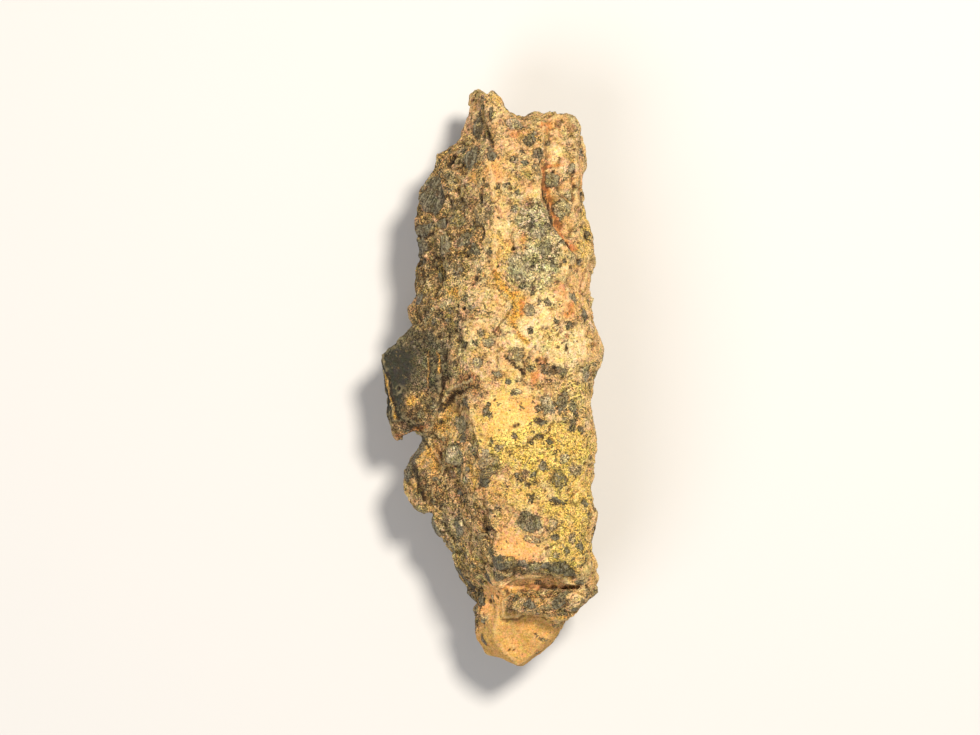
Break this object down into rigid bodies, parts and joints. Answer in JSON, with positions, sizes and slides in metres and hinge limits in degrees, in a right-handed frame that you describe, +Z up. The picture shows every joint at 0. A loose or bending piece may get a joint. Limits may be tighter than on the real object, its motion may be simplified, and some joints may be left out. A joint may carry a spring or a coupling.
{
  "type": "diogenite meteorite",
  "caption": "Long broken stone with a forked end, a jutting side block, a stepped foot and crystals set in a granular matrix.",
  "frame": {"origin": "on the resting plane, under the middle of the stone's outline seen from above", "axes": "+Z up from the flat it rests on, +Y along the stone towards its forked end, +X towards its straighter long edge"},
  "size_m": [0.0388, 0.1002, 0.0308],
  "materials": {
    "stone": "matt, granular, desert weathered"
  },
  "bodies": {
    "root": {"meteorite": "stone"}
  },
  "joints": []
}
